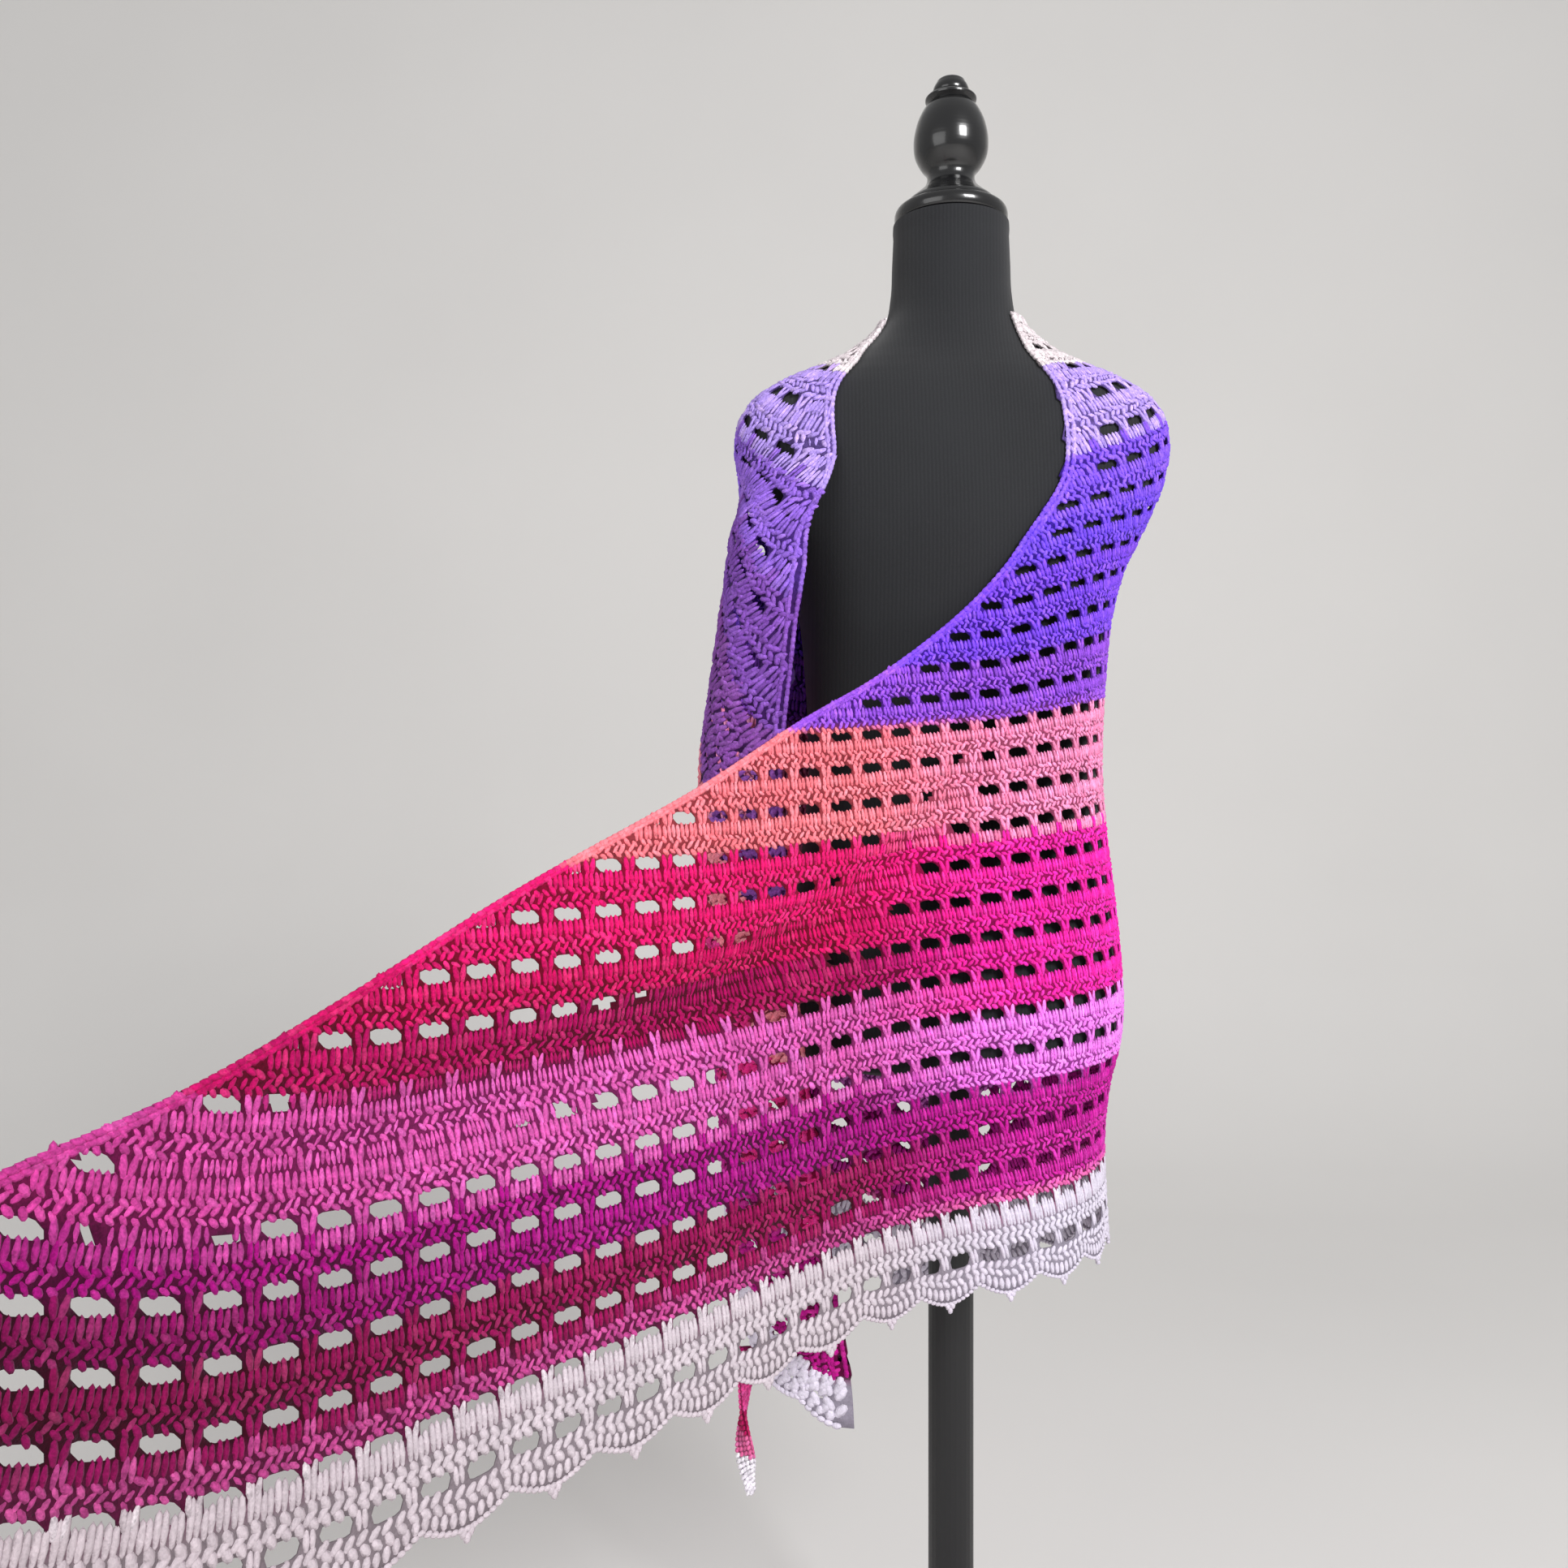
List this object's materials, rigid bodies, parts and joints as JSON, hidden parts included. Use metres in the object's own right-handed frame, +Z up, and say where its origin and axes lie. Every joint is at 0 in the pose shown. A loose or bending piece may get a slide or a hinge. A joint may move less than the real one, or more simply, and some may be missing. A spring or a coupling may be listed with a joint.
{
  "type": "crocheted shawl on a dress form",
  "caption": "Triangular crocheted shawl with eyelet rows and scalloped edging over a limbless dress form on a round stand, one end drawn out to the side.",
  "frame": {"origin": "centre of the flat underside of the stand's base, on the floor under the form's axis", "axes": "+Z up; -Y is the form's front; +X is the form's left, the side where the cloth lies closest"},
  "size_m": [0.7755, 1.1411, 1.5266],
  "materials": {
    "yarn": "matt, double-strand crochet in broad colour bands",
    "edging_yarn": "matt, crocheted",
    "form_jersey": "matt knitted jersey",
    "turned_wood": "black lacquer over turned wood",
    "coated_steel": "satin black powder coat"
  },
  "bodies": {
    "root": {"edging_back_left": "edging_yarn", "edging_back_right": "edging_yarn", "edging_left_front": "edging_yarn", "edging_left_wing": "edging_yarn", "edging_right_panel": "edging_yarn", "form_finial": "turned_wood", "form_neck_disc": "turned_wood", "form_torso": "form_jersey", "shawl_back_left": "yarn", "shawl_back_right": "yarn", "shawl_left_front": "yarn", "shawl_left_wing": "yarn", "shawl_right_panel": "yarn", "shawl_tail": "yarn", "stand_base": "coated_steel", "stand_pole": "coated_steel"}
  },
  "joints": []
}
